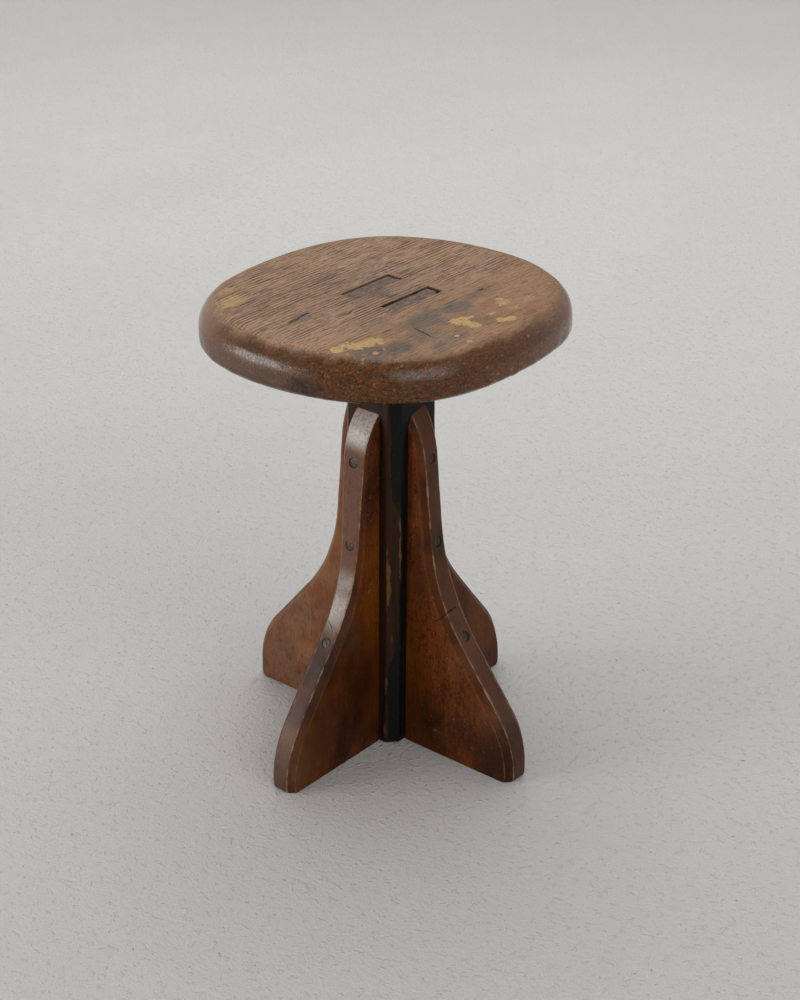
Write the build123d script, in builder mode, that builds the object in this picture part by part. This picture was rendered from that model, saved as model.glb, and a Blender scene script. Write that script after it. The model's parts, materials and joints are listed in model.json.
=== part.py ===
"""Small wooden stool: round plank seat, square post, four screwed-on fin legs.

Units are millimetres. +Z is up and the origin is on the post's axis at floor level.
+X runs along the front right fin and -Y along the front left fin. The seat's grain
and the long side of its two mortises run along Y.
"""
from build123d import *
import os

# Seat: one plank, sawn round by eye, so it is flatter on its four sides.
seat_height = 450.0  # top of the seat above the floor
seat_thickness = 41.0
seat_reach_front_right = 146.5  # +X, across the grain
seat_reach_back_left = 158.5
seat_reach_back_right = 167.0  # +Y, along the grain
seat_reach_front_left = 165.0
seat_side_round = 370.0  # radius of the two sides across the grain
seat_end_round = 230.0  # radius of the two ends of the grain
seat_corner_round = 126.0
seat_top_round = 24.0
seat_under_chamfer = 5.5

# Post: square bar with planed corners and two tenons that go through the seat.
post_width = 64.0  # along X
post_depth = 66.0  # along Y
post_corner = 9.0
post_foot_bevel = 2.0
tenon_thickness = 17.4
tenon_sunk = 1.5  # tenon ends sit this far below the seat's top
mortise_clearance = 0.2

# Fins: four planks on edge, one on each face of the post.
fin_thickness = 28.0
fin_arris = 6.0  # chamfer along both edges of the shaped side
fin_height = 344.0  # the crown meets the post here
fin_reaches = {  # toe to post axis
    "front_right": 159.0,
    "front_left": 159.0,
    "back_left": 161.0,
    "back_right": 163.5,
}
fin_turns = {"front_right": 0, "back_right": 90, "back_left": 180, "front_left": 270}
knee_height = 41.0  # toe line and slope cross here
waist_reach = 62.0  # slope and shank cross here
waist_height = 169.0
neck_reach = 50.0  # shank ends and the crown starts
neck_height = 305.0
shoulder_radius = 84.0
hollow_radius = 182.0
toe_bevel = 2.5  # worn bottom corner of the toe

# Screws: three countersunk wood screws hold each fin.
screw_heights = {"top": 300.0, "middle": 218.0, "low": 130.0}
screw_lengths = {"top": 40.0, "middle": 45.0, "low": 90.0}
head_diameter = 9.5
head_sunk = 0.6  # below the fin's edge, square to it
shank_diameter = 5.0
bore_clearance = 0.1  # round the shank
pilot_spare = 1.5  # hole left past the end of the screw

shoulder_height = seat_height - seat_thickness  # underside of the seat
head_cone = (head_diameter - shank_diameter) / 2  # 45 degree cone


def post_face(fin_name):
    """Distance from the post's axis to the face that carries this fin."""
    return (post_width if fin_turns[fin_name] % 180 == 0 else post_depth) / 2


def seat_outline():
    """Outline of the seat: four shallow arcs, one to a side, with rounded corners."""
    across = seat_side_round
    along = seat_end_round
    with BuildSketch(Plane.XY.offset(shoulder_height)) as outline:
        with Locations((seat_reach_front_right - across, 0)):
            Circle(across)
        with Locations((across - seat_reach_back_left, 0)):
            Circle(across, mode=Mode.INTERSECT)
        with Locations((0, seat_reach_back_right - along)):
            Circle(along, mode=Mode.INTERSECT)
        with Locations((0, along - seat_reach_front_left)):
            Circle(along, mode=Mode.INTERSECT)
        fillet(outline.vertices(), seat_corner_round)
    return outline.sketch


def tenon_middles():
    """Middles of the two tenons, whose outer sides are flush with the post."""
    reach = (post_width - tenon_thickness) / 2
    return [(-reach, 0), (reach, 0)]


def fin_outline(fin_name):
    """Side view of one fin as a face on the XZ plane, out to the right of the post."""
    reach = fin_reaches[fin_name]
    face = post_face(fin_name)
    knee = (reach, knee_height)
    waist = (waist_reach, waist_height)
    neck = (neck_reach, neck_height)
    with BuildSketch(Plane.XZ) as outline:
        with BuildLine():
            Line((face, 0), (reach, 0))
            Line((reach, 0), knee)
            Line(knee, waist)
            shank = Line(waist, neck)
            TangentArc(neck, (face, fin_height), tangent=shank % 1)
            Line((face, fin_height), (face, 0))
        make_face()
        for corner, radius in ((knee, shoulder_radius), (waist, hollow_radius)):
            fillet(outline.vertices().sort_by_distance(corner)[0], radius)
    return outline.sketch


def screw_plane(fin_name, place):
    """Plane on the screw's head, square to the fin's edge, for a fin along +X."""
    level = screw_heights[place]
    outline = fin_outline(fin_name)
    reach_line = Edge.make_line((0, 0, level), (fin_reaches[fin_name], 0, level))
    cut = outline.intersect(reach_line)
    spot = Vector(max(edge.bounding_box().max.X for edge in cut.edges()), 0, level)
    along = outline.edges().sort_by_distance(spot)[0].tangent_at(spot)
    outward = Vector(along.Z, 0, -along.X) * (1 if along.Z > 0 else -1)
    return Plane(origin=spot - outward * head_sunk, x_dir=(0, 1, 0), z_dir=outward)


def save(piece, name):
    """Name the solid and write it to its own file."""
    piece.label = name
    export_step(piece, f"parts/{name}.step")


def make_seat():
    """The plank seat, rounded on top, chamfered below, with two mortises right through."""
    mortise_width = tenon_thickness + 2 * mortise_clearance
    mortise_length = post_depth + 2 * mortise_clearance
    with BuildPart() as seat:
        extrude(seat_outline(), amount=seat_thickness)
        fillet(seat.faces().sort_by(Axis.Z)[-1].outer_wire().edges(), seat_top_round)
        chamfer(seat.faces().sort_by(Axis.Z)[0].outer_wire().edges(), seat_under_chamfer)
        with BuildSketch(Plane.XY.offset(shoulder_height)):
            with Locations(*tenon_middles()):
                Rectangle(mortise_width, mortise_length)
        extrude(amount=seat_thickness, mode=Mode.SUBTRACT)
    save(seat.part, "seat")


def make_post():
    """The post with its planed corners, twin tenons and twelve pilot holes."""
    with BuildPart() as post:
        with BuildSketch(Plane.XY):
            Rectangle(post_width, post_depth)
        extrude(amount=shoulder_height)
        chamfer(post.edges().filter_by(Axis.Z), post_corner)
        chamfer(post.faces().sort_by(Axis.Z)[0].edges(), post_foot_bevel)
        with BuildSketch(Plane.XY.offset(shoulder_height)):
            with Locations(*tenon_middles()):
                Rectangle(tenon_thickness, post_depth)
        extrude(amount=seat_thickness - tenon_sunk)
        for fin_name, turn in fin_turns.items():
            for place, length in screw_lengths.items():
                with Locations(Rotation(0, 0, turn) * screw_plane(fin_name, place).location):
                    Cylinder(
                        shank_diameter / 2 + bore_clearance,
                        length + pilot_spare,
                        align=(Align.CENTER, Align.CENTER, Align.MAX),
                        mode=Mode.SUBTRACT,
                    )
    save(post.part, "post")


def make_fin(fin_name):
    """One fin, chamfered along its shaped edge, with three bores for its screws."""
    face = post_face(fin_name)
    outline = fin_outline(fin_name).moved(Location((0, fin_thickness / 2, 0)))
    with BuildPart() as fin:
        extrude(outline, amount=fin_thickness)
        sides = fin.edges().filter_by_position(Axis.Y, -fin_thickness / 2, -fin_thickness / 2)
        sides += fin.edges().filter_by_position(Axis.Y, fin_thickness / 2, fin_thickness / 2)
        shaped = [
            edge
            for edge in sides
            if edge.bounding_box().max.X > face + 0.01 and edge.bounding_box().max.Z > 0.01
        ]
        chamfer(shaped, fin_arris)
        sole = fin.faces().sort_by(Axis.Z)[0]
        chamfer(sole.edges().group_by(Axis.X)[-1], toe_bevel)
        for place in screw_heights:
            with Locations(screw_plane(fin_name, place)):
                CounterSinkHole(
                    shank_diameter / 2 + bore_clearance,
                    head_diameter / 2,
                    depth=screw_lengths[place],
                    counter_sink_angle=90,
                )
                Cylinder(
                    head_diameter / 2,
                    fin_thickness,
                    align=(Align.CENTER, Align.CENTER, Align.MIN),
                    mode=Mode.SUBTRACT,
                )
    piece = fin.part.rotate(Axis.Z, fin_turns[fin_name])
    save(piece, f"fin_{fin_name}")


def make_screw(fin_name, place):
    """One countersunk wood screw, seated in its fin and run into the post."""
    length = screw_lengths[place]
    with BuildPart() as screw:
        with BuildSketch(Plane.XZ):
            with BuildLine():
                Polyline(
                    (0, 0),
                    (head_diameter / 2, 0),
                    (shank_diameter / 2, -head_cone),
                    (shank_diameter / 2, -length),
                    (0, -length),
                    close=True,
                )
            make_face()
        revolve(axis=Axis.Z)
    piece = screw_plane(fin_name, place).location * screw.part
    piece = piece.rotate(Axis.Z, fin_turns[fin_name])
    save(piece, f"screw_{fin_name}_{place}")


os.makedirs("parts", exist_ok=True)
make_seat()
make_post()
for name in fin_turns:
    make_fin(name)
    for spot in screw_heights:
        make_screw(name, spot)
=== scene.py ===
"""Small wooden stool: a round plank seat on a chamfered post with four fin legs.

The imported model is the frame. The pieces made here stand for its solids and carry
the worn shapes and finishes. Sizes are in metres, +Z is up, +X runs along the front
right fin and -Y along the front left one. The seat's grain runs along Y.
"""

import json
import math

import bmesh
import bpy
import numpy as np
from mathutils import Matrix, Vector, noise
from mathutils.bvhtree import BVHTree

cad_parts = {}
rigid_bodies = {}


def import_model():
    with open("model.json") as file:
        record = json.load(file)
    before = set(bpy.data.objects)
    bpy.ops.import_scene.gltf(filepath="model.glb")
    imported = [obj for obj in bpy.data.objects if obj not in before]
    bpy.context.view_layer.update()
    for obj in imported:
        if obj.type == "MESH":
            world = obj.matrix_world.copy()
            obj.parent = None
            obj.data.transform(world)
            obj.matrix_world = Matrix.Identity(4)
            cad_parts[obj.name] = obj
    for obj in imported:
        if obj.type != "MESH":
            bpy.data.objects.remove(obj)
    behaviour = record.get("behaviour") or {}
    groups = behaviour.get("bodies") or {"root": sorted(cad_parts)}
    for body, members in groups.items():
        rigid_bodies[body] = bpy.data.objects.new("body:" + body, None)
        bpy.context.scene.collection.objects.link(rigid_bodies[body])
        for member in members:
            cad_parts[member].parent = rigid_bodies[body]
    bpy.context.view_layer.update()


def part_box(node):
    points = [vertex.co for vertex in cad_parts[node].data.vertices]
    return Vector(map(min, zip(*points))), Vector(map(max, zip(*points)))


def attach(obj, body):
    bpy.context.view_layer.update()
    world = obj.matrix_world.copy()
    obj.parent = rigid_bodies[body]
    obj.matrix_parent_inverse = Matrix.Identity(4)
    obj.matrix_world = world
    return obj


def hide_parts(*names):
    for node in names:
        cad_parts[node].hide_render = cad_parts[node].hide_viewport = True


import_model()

bl_info = {
    "name": "Plank Seat Stool",
    "version": (1, 0, 0),
    "blender": (4, 5, 0),
    "location": "3D View > Sidebar > Stool",
    "description": "Builds a worn wooden stool with a plank seat and four fin legs",
    "category": "Add Mesh",
}

MM = 0.001
BODY = "root"
FINS = {"front_right": 0, "back_right": 90, "back_left": 180, "front_left": 270}
SCREWS = {"top": (300, 40), "middle": (218, 45), "low": (130, 90)}  # height, length in mm

# How finely the pieces are meshed.
SEAT_PITCH = 0.0008  # between the grid lines of the seat's middle, in metres
SEAT_BLOCK = (0.0400, 0.0415)  # half sizes of that middle
MORTISE_STEPS = 12  # rings down a mortise
FLAT_STEPS, UNDER_STEPS = 48, 30  # rings from the middle out to the rim and back
TOP_ROUND_STEPS, UNDER_ROUND_STEPS = 14, 6
STATIONS = 170  # rows of points along a fin's edge
BACK_COLUMNS = 14  # points from a fin's edge in to the post
SCREW_SIDES = 32

# Set sizes, in metres unless a note says otherwise.
SEAT_WEAR = 0.0006  # the worn top lies this far below the plank's full height
TOP_DEPTH = 0.012  # the top's marks and its wear end this far down
ROUGH_RIM = 0.012  # the rim is sawn more roughly this far up from its foot
MORTISE_WIDTH = 0.0180
MORTISE_SPARE = 0.0003  # outside the tenon
TENON_THICKNESS = 0.0174
TENON_FOOT = 0.003  # the tenons start this far down in the post
FOOT_BEVEL = 0.002
FIN_HALF = 14.0  # half a fin's thickness, in mm
INSIDE_POST = 30.0  # a fin's edge drawn on past the post's face, in mm
CROWN_SHARE = 0.8  # from here up the fin's stations close in on the post
TOE_WEAR, TOE_HEIGHT = 2.6, 5.0  # worn off a toe, and up to what height, in mm
HEAD_SUNK = 0.0007  # a screw's head below the fin's edge
POCKET_FLOOR = 0.0010  # the pocket round it
CUTTER_LIFT = 0.0012  # a cutter starts this far above the surface
CARVED = 0.0004  # a point deeper than this lies in a cut

# Outline of the hand-sawn seat: radius by angle from +X, as cosine and sine waves in mm.
SEAT_RADIUS = 162.1
SEAT_WAVES = ((1, -5.6, -0.3), (2, -6.9, 2.4), (3, -0.2, -0.4), (4, -4.0, -0.9))

# Marks on the seat's top, in mm: x, y, reach along x, reach along y, strength.
SEAT_MARKS = {
    "chips": (
        (49, -131, 6, 8, 1.0), (46, -123, 5, 6, 0.9), (56, -117, 9, 8, 1.0), (60, -107, 9, 8, 1.0),
        (62, -97, 8, 8, 1.0), (61, -122, 3, 4, 0.78), (86, -18, 7, 7, 1.0), (87, -8, 5, 7, 0.95),
        (95, -14, 7, 7, 1.0), (103, -13, 7, 7, 1.0), (89, -2, 4, 5, 0.8), (98, 18, 4, 5, 0.9),
        (114, 12, 5, 5, 1.0), (118, 19, 6, 6, 1.0), (83, 50, 4, 6, 0.84), (93, 42, 5, 6, 0.84),
        (107, -42, 3, 3, 0.8), (122, -44, 3, 3, 0.8), (70, -89, 3, 4, 0.76), (78, -116, 4, 4, 0.8),
        (80, -106, 3, 4, 0.78), (-88, -112, 9, 16, 0.6),
    ),
    "haze": (
        (-114, -94, 9, 20, 0.85), (-92, -108, 14, 24, 0.95), (-110, -72, 8, 12, 0.7),
        (-86, -132, 8, 12, 0.7), (-94, 96, 13, 28, 0.7), (-59, 112, 10, 26, 0.6),
        (90, 46, 9, 12, 0.9), (106, 42, 9, 14, 0.8), (102, 68, 9, 18, 0.8), (101, 92, 8, 16, 0.6),
        (118, 30, 9, 22, 0.6), (57, -84, 7, 12, 0.7), (42, -66, 10, 14, 0.6),
        (84, -76, 7, 12, 0.6), (75, -128, 10, 12, 0.7),
    ),
    "soot": (
        (72, -116, 13, 14, 1.0), (86, -92, 12, 14, 0.9), (66, -30, 15, 26, 0.8),
        (67, 6, 12, 22, 0.8), (60, 42, 9, 26, 0.6), (0, 0, 44, 56, 0.46), (86, -60, 16, 26, 0.62),
        (108, -40, 12, 20, 0.5), (-38, 30, 14, 40, 0.42), (100, 0, 12, 22, 0.5),
        (-60, 0, 26, 60, 0.48), (110, -66, 12, 16, 0.62), (-16, -104, 8, 18, 0.5),
        (40, -60, 16, 26, 0.45), (-20, -108, 4, 11, 0.66), (-24, -92, 6, 12, 0.7),
        (2, -65, 5, 15, 0.6),
    ),
    "bare": (
        (-43, -134, 22, 20, 0.9), (20, -118, 34, 30, 0.8), (-30, 96, 40, 40, 0.6),
        (60, 100, 30, 40, 0.7), (-84, 40, 36, 66, 0.75), (-100, -50, 20, 30, 0.7),
    ),
}

# Cracks in the seat's top, in mm: width, depth, then x, y and drop of each point.
SEAT_CRACKS = (
    (1.9, 2.6, ((65.5, -53, 0), (70, -52.7, 0), (76, -54.5, 0), (84, -56, 0), (91, -58.5, 0), (99, -59, 0))),
    (1.0, 1.5, ((86, -88, 0), (90.5, -86.8, 0), (92, -83.5, 0))),
    (1.1, 1.8, ((129, 43, 0), (133, 47, 0), (138, 48, 0.6))),
    (3.0, 1.7, ((-19, -117.5, 0), (-21.5, -108, 0), (-21, -100, 0))),
    (3.4, 2.0, ((-22, -101, 0), (-23.5, -92, 0), (-24, -85, 0))),
    (2.8, 1.7, ((2, -79, 0), (4, -64, 0), (0, -52, 0))),
    (4.0, 2.2, ((54.5, 53.5, 0), (56, 57, 0), (56, 60.5, 0))),
)

# Outer edge of each fin from the toe up, in mm and degrees: reach, upright toe,
# shoulder radius, slope from the vertical, run of the slope, hollow radius, lean of
# the shank, its length, crown radius. Two rows where the two arrises differ.
FIN_EDGES = {
    "front_left": ((158.8, 6.8, 97.5, 36.0, 85.9, 163, 4.1, 88, 58),) * 2,
    "front_right": (
        (157.8, 5.7, 94, 36.9, 82, 168.5, 6.3, 87.5, 102),
        (159.4, 17.0, 82, 37.8, 66, 228, 5.1, 61, 99),
    ),
    "back_left": ((161.0, 17.8, 83, 39.9, 68, 173, 4.4, 80, 120),) * 2,
    "back_right": ((163.5, 8.2, 99, 39.0, 76, 161.5, 3.1, 132, 78.5),) * 2,
}

# Marks on the fins, in mm: reach, height, their two spreads, strength.
ALL_ACROSS = 1e6
FIN_MARKS = {
    # The deep marks are painted shade: they darken the fins towards the post, low down and along parts of
    # the edge.
    "deep": {
        "front_left": ((60, 60, 60, 75, 0.95), (60, 240, 60, 80, 0.4), (100, 102, 18, 20, 0.95)),
        "front_right": (
            (42, 25, 26, 50, 0.7), (56, 180, 50, 60, 0.3), (130, 20, 40, 30, 0.5), (118, 100, 18, 26, 0.5),
        ),
        "back_left": ((40, 40, 30, 60, 0.3),),
        "back_right": ((80, 60, 60, 60, 0.5),),
    },
    "pale": {
        "front_left": ((150, 30, 12, 26, 0.25), (75, 131, 8, 14, 0.3)),
        "front_right": ((90, 106, 12, 8, 0.2), (128, 60, 20, 16, 0.12)),
        # The wide back left pale mark is painted light: it lightens that whole fin as if it were better lit.
        "back_left": ((90, 110, 120, 160, 0.5),),
        "back_right": ((120, 60, 50, 50, 0.12),),
    },
    # The gloss marks lower the edge's roughness and also paint a pale grey highlight on the front left fin.
    "gloss_and_highlight": {
        "front_left": (
            (0, 334, ALL_ACROSS, 15, 1.0), (0, 262, ALL_ACROSS, 60, 0.27), (0, 183, ALL_ACROSS, 12, 0.5),
            (0, 157, ALL_ACROSS, 15, 0.7), (0, 56, ALL_ACROSS, 8, 0.25),
        ),
    },
    "streak": {"front_right": ((37, 285, 3.5, 30, 0.75),)},
}

# Worm holes in a fin's side, in mm: place across, radius, then reach and height of each.
WORM_HOLES = {
    "front_right": (
        -11, 0.7, ((47.5, 327), (54, 312), (40.4, 276), (43.5, 270), (38, 196), (54, 214.5)),
    ),
    "front_left": (11, 0.6, ((70, 92), (101, 60))),
}

# Paint worn off the post, in mm: x, y, height, spread across, spread up, strength.
POST_MARKS = {
    "worn": (
        (26.5, -30, 190, 4.2, 50, 0.6), (31, -25, 205, 1.8, 60, 0.5), (26, -30, 116, 4.6, 26, 0.55),
        (24.5, -31.5, 300, 3, 60, 0.34), (-26, -29, 140, 4, 20, 0.3),
    ),
    "tan": (
        (32, -24, 205, 1.6, 40, 0.56), (25.5, -30.5, 172, 2.4, 26, 0.42),
        (27.5, -28.5, 117, 2.4, 12, 0.44), (23.5, -32.5, 205, 1.4, 50, 0.36),
        (21, -33, 16, 2, 6, 0.55), (23, -33, 60, 3, 45, 0.35), (-32, 24, 220, 3, 60, 0.5),
    ),
}

# Lamps: name, spot, target, width, height, power, colour.
LAMPS = (
    ("window_left", (-1.85, -2.55, 0.78), (0, 0, 0.25), 1.85, 1.3, 66, (1, 0.99, 0.97)),
    ("window_right", (3.0, -0.9, 1.9), (0, 0, 0.2), 3.0, 2.6, 56, (1, 1, 1)),
    ("ceiling", (-0.9, 1.1, 3.3), (0, 0, 0.2), 3.0, 3.0, 62, (1, 1, 1)),
)
SKY_STRENGTH = 0.48
FLOOR_REACH = 12.0

# Camera: its spot, the way its right, its top and its back face, and its lens.
CAMERA_SPOT = (1.177249, -1.427239, 1.164317)
CAMERA_TURN = (
    (0.77219008, 0.63535118, 0.00716601),
    (-0.28823929, 0.34022346, 0.89507883),
    (0.56625135, -0.69323652, 0.44585035),
)
SENSOR_HEIGHT = 36.0
FOCAL_LENGTH = 79.83072


def hue(code):
    """Linear colour for a written sRGB one such as "8a5a33"."""
    channels = [int(code[i : i + 2], 16) / 255 for i in (0, 2, 4)]
    return tuple(c / 12.92 if c <= 0.04045 else ((c + 0.055) / 1.055) ** 2.4 for c in channels)


def length_property(name, description, default):
    return bpy.props.FloatProperty(
        name=name,
        description=description,
        default=default,
        min=0.0001,
        unit="LENGTH",
        subtype="DISTANCE",
    )


def colour_property(name, description, code):
    return bpy.props.FloatVectorProperty(
        name=name,
        description=description,
        default=hue(code),
        min=0.0,
        max=1.0,
        size=3,
        subtype="COLOR",
    )


class StoolSizes(bpy.types.PropertyGroup):
    """Sizes of the rounds, chamfers and clearances that are worked by hand."""

    top_round: length_property("Top Round", "Round along the seat's upper rim", 0.024)
    under_round: length_property("Under Round", "Round along the lower rim", 0.0078)
    mortise_gap: length_property("Mortise Gap", "Open joint beside the tenons", 0.0011)
    tenon_sunk: length_property("Tenon Sunk", "How far the tenon ends sit down", 0.0018)
    fin_chamfer: length_property("Fin Chamfer", "Chamfer along a fin's edge", 0.006)
    arris_wear: length_property("Arris Wear", "Rounding of the worn arrises", 0.0009)
    post_corner: length_property("Post Corner", "Planed corner of the post", 0.009)
    pocket: length_property("Screw Pocket", "Radius of the hole round a head", 0.0052)
    slot_width: length_property("Screw Slot", "Width of the slot in a head", 0.0011)


class StoolColours(bpy.types.PropertyGroup):
    """Colours of the wood, the old paint and the metal."""

    seat_light: colour_property("Seat Light", "Bare wood on the seat", "9F7D62")
    seat_dark: colour_property("Seat Dark", "Brown of the seat's top", "6C503B")
    seat_rim: colour_property("Seat Rim", "Old varnish round the rim", "4B2D18")
    ochre: colour_property("Ochre Paint", "Chips of old ochre paint", "AF905C")
    fin_amber: colour_property("Fin Amber", "Varnish on the fins", "69320C")
    fin_brown: colour_property("Fin Brown", "Handled wood on the fins", "5A3420")
    post_paint: colour_property("Post Paint", "Black green paint", "0B0D0B")
    screw_steel: colour_property("Screw Steel", "Dull steel heads", "413E3B")
    floor_grey: colour_property("Floor", "Painted floor", "D8D8D6")


def sizes():
    return bpy.context.scene.stool_sizes


def colours():
    return bpy.context.scene.stool_colours


# Meshes ----------


def ripple(point, scale, seed=0.0):
    """Smooth noise between about -1 and 1 at a point in metres."""
    return noise.noise(Vector(point) * scale + Vector((seed, seed * 1.7, -seed)))


def make_piece(name, points, faces):
    """A new object at the origin with these points and faces."""
    mesh = bpy.data.meshes.new(name)
    mesh.from_pydata([tuple(p) for p in points], [], faces)
    mesh.update()
    piece = bpy.data.objects.new(name, mesh)
    bpy.context.scene.collection.objects.link(piece)
    return piece


def sheet(columns, rows, start):
    """Faces over a grid of points that are numbered row by row."""
    corners = [start + j * columns + i for j in range(rows - 1) for i in range(columns - 1)]
    return [(a, a + 1, a + 1 + columns, a + columns) for a in corners]


def rectangle_loop(i0, i1, j0, j1):
    """Grid places once round a rectangle, from its low corner."""
    loop = [(i, j0) for i in range(i0, i1)] + [(i1, j) for j in range(j0, j1)]
    return loop + [(i, j1) for i in range(i1, i0, -1)] + [(i0, j) for j in range(j1, j0, -1)]


def band_faces(rings):
    """Faces between each closed ring of points and the next."""
    faces = []
    for a, b in zip(rings, rings[1:]):
        for k in range(len(a)):
            n = (k + 1) % len(a)
            faces.append((a[k], a[n], b[n], b[k]))
    return faces


def clean(piece, distance=2e-6):
    """Merge doubles, drop faces without area and turn every face outwards."""
    work = bmesh.new()
    work.from_mesh(piece.data)
    bmesh.ops.remove_doubles(work, verts=work.verts, dist=distance)
    bmesh.ops.dissolve_degenerate(work, edges=work.edges, dist=distance / 2)
    bmesh.ops.recalc_face_normals(work, faces=work.faces)
    work.to_mesh(piece.data)
    work.free()


def bake_modifiers(piece):
    """Turn the result of a piece's modifiers into its mesh and give back the old one."""
    bpy.context.view_layer.update()
    graph = bpy.context.evaluated_depsgraph_get()
    solid = bpy.data.meshes.new_from_object(piece.evaluated_get(graph))
    piece.modifiers.clear()
    old = piece.data
    piece.data = solid
    return old


def carve(piece, cutters, keep=()):
    """Cut the cutters out of a piece and carry its numbers over.

    Gives back how deep each point of the cut piece lies below the old surface.
    """
    first = cutters[0]
    if len(cutters) > 1:
        with bpy.context.temp_override(active_object=first, selected_editable_objects=cutters):
            bpy.ops.object.join()
    cut = piece.modifiers.new("cut", "BOOLEAN")
    cut.operation = "DIFFERENCE"
    cut.solver = "EXACT"
    cut.use_self = True
    cut.object = first
    stored = {name: numbers_of(piece, name) for name in keep}
    old = bake_modifiers(piece)
    surface = BVHTree.FromPolygons(
        [v.co for v in old.vertices], [tuple(face.vertices) for face in old.polygons]
    )
    depth, owner = [], []
    for point in piece.data.vertices:
        spot, _, face, far = surface.find_nearest(point.co)
        around = old.polygons[face].vertices
        gaps = [(old.vertices[k].co - spot).length for k in around]
        owner.append(around[gaps.index(min(gaps))])
        depth.append(far)
    for name in keep:
        paint(piece, name, stored[name][owner])
    bpy.data.meshes.remove(old)
    bpy.data.objects.remove(first)
    return np.array(depth)


def numbers_of(piece, name):
    """The numbers stored for each point of a piece."""
    layer = piece.data.attributes[name]
    values = np.zeros(len(layer.data), np.float32)
    layer.data.foreach_get("value", values)
    return values


def soften(piece, angle=32):
    """Smooth shading with creases where faces meet at more than this angle."""
    mesh = piece.data
    mesh.polygons.foreach_set("use_smooth", [True] * len(mesh.polygons))
    mesh.set_sharp_from_angle(angle=math.radians(angle))


def place_of(piece):
    """All the points of a piece as rows of x, y and z in metres."""
    flat = np.zeros(len(piece.data.vertices) * 3)
    piece.data.vertices.foreach_get("co", flat)
    return flat.reshape(-1, 3)


def paint(piece, name, values):
    """Store one number a point for the material to read."""
    layer = piece.data.attributes.get(name)
    if layer is None:
        layer = piece.data.attributes.new(name, "FLOAT", "POINT")
    layer.data.foreach_set("value", np.asarray(values, np.float32))


def marks_over(marks, u, v):
    """How strongly a table of soft marks covers points that lie at u and v."""
    total = np.zeros(len(u))
    for mid_u, mid_v, reach_u, reach_v, strength in marks:
        far = ((u / MM - mid_u) / reach_u) ** 2 + ((v / MM - mid_v) / reach_v) ** 2
        total = np.maximum(total, strength * np.exp(-0.5 * far))
    return total


def finish_piece(piece, materials, slot, *nodes):
    """Dress a piece and let it stand for its CAD solids."""
    shares = [face.material_index for face in piece.data.polygons]
    piece.data.materials.clear()
    for material in materials:
        piece.data.materials.append(material)
    piece.data.polygons.foreach_set("material_index", shares)
    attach(piece, BODY)
    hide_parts(*nodes)


def rod(start, along, radius, length, sides=28):
    """A closed cylinder cutter from a point, along a direction."""
    turn = Vector(along).normalized().to_track_quat("Z", "Y").to_matrix().to_4x4()
    shape = bmesh.new()
    bmesh.ops.create_cone(
        shape,
        cap_ends=True,
        segments=sides,
        radius1=radius,
        radius2=radius,
        depth=length,
        matrix=Matrix.Translation(Vector(start)) @ turn @ Matrix.Translation((0, 0, length / 2)),
    )
    mesh = bpy.data.meshes.new("cutter")
    shape.to_mesh(mesh)
    shape.free()
    cutter = bpy.data.objects.new("cutter", mesh)
    bpy.context.scene.collection.objects.link(cutter)
    return cutter


def wedge(points, down, width, depth):
    """A thin V-shaped cutter along a line of surface points, deep in the down direction."""
    down = Vector(down).normalized()
    rows = []
    last = len(points) - 1
    for i, point in enumerate(points):
        here = Vector(point)
        ahead = Vector(points[min(i + 1, last)]) - Vector(points[max(i - 1, 0)])
        swell = 0.25 + math.sin(math.pi * (i + 0.5) / (last + 1))
        side = ahead.cross(down).normalized() * width * swell / 2
        lift = here - down * CUTTER_LIFT
        rows += [lift + side, lift - side, here + down * depth * swell]
    faces = [(0, 1, 2), (3 * last + 2, 3 * last + 1, 3 * last)]
    faces += band_faces([[3 * i, 3 * i + 1, 3 * i + 2] for i in range(last + 1)])
    cutter = make_piece("cutter", rows, faces)
    clean(cutter)
    return cutter


# Materials ----------


def add_node(tree, kind, inputs=None, **settings):
    """A node with its settings; inputs are linked to sockets or set to values."""
    made = tree.nodes.new(kind)
    for key, value in settings.items():
        setattr(made, key, value)
    for key, value in (inputs or {}).items():
        if isinstance(value, bpy.types.NodeSocket):
            tree.links.new(value, made.inputs[key])
        else:
            made.inputs[key].default_value = value
    return made


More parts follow.
